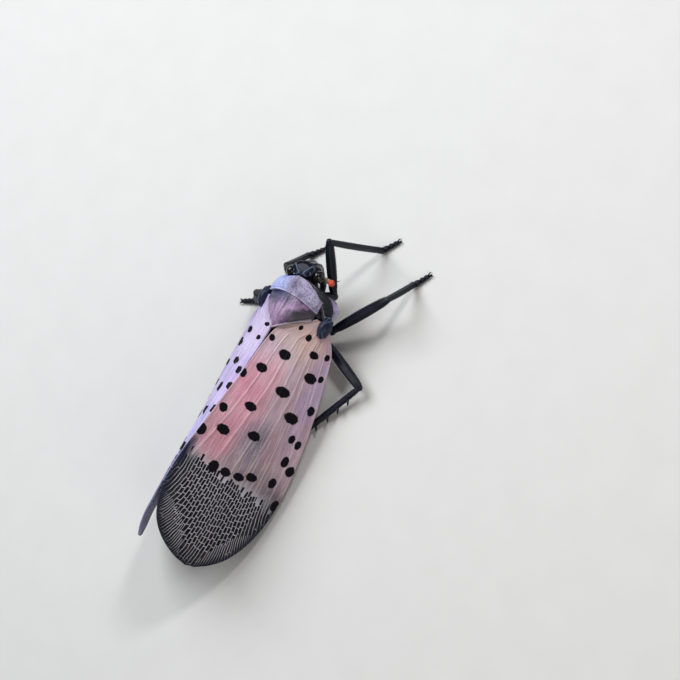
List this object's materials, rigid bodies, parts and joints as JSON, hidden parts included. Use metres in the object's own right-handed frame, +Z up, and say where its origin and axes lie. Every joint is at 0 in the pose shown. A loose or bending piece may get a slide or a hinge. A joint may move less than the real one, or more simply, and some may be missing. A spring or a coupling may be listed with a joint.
{
  "type": "spotted lanternfly",
  "caption": "Adult spotted lanternfly at rest with its wings folded like a roof over the body, a still life-size model that stands on its own legs.",
  "frame": {"origin": "middle of the bounding box in plan, at the level of the floor under the feet", "axes": "+X to the insect's left, +Y from its head toward its wing tips, +Z up"},
  "size_m": [0.0144, 0.03, 0.0092],
  "materials": {
    "body": "blue-black insect shell, satin",
    "leg": "blue-black insect shell, satin with fine ridges",
    "pronotum": "lavender shield with a waxy bloom",
    "mesonotum": "navy and plum shield, faintly waxy",
    "eye": "black and glossy",
    "feeler": "orange red, satin",
    "forewing": "pale rose membrane with black spots and a net of veins at the tip",
    "hindwing": "red membrane with black dots, white band and black tip",
    "abdomen": "yellow with black bands"
  },
  "bodies": {
    "root": {"head": "body", "rostrum": "body", "thorax": "body", "tegula_right": "body", "tegula_left": "body", "pronotum": "pronotum", "mesonotum": "mesonotum", "abdomen": "abdomen", "eye_right": "eye", "antenna_right": "feeler", "forewing_right": "forewing", "hindwing_right": "hindwing", "eye_left": "eye", "antenna_left": "feeler", "forewing_left": "forewing", "hindwing_left": "hindwing", "fore_right_coxa": "leg", "fore_right_femur": "leg", "fore_right_tibia": "leg", "fore_right_tarsus": "leg", "fore_left_coxa": "leg", "fore_left_femur": "leg", "fore_left_tibia": "leg", "fore_left_tarsus": "leg", "mid_right_coxa": "leg", "mid_right_femur": "leg", "mid_right_tibia": "leg", "mid_right_tarsus": "leg", "mid_left_coxa": "leg", "mid_left_femur": "leg", "mid_left_tibia": "leg", "mid_left_tarsus": "leg", "hind_right_coxa": "leg", "hind_right_femur": "leg", "hind_right_tibia": "leg", "hind_right_tarsus": "leg", "hind_left_coxa": "leg", "hind_left_femur": "leg", "hind_left_tibia": "leg", "hind_left_tarsus": "leg"}
  },
  "joints": []
}
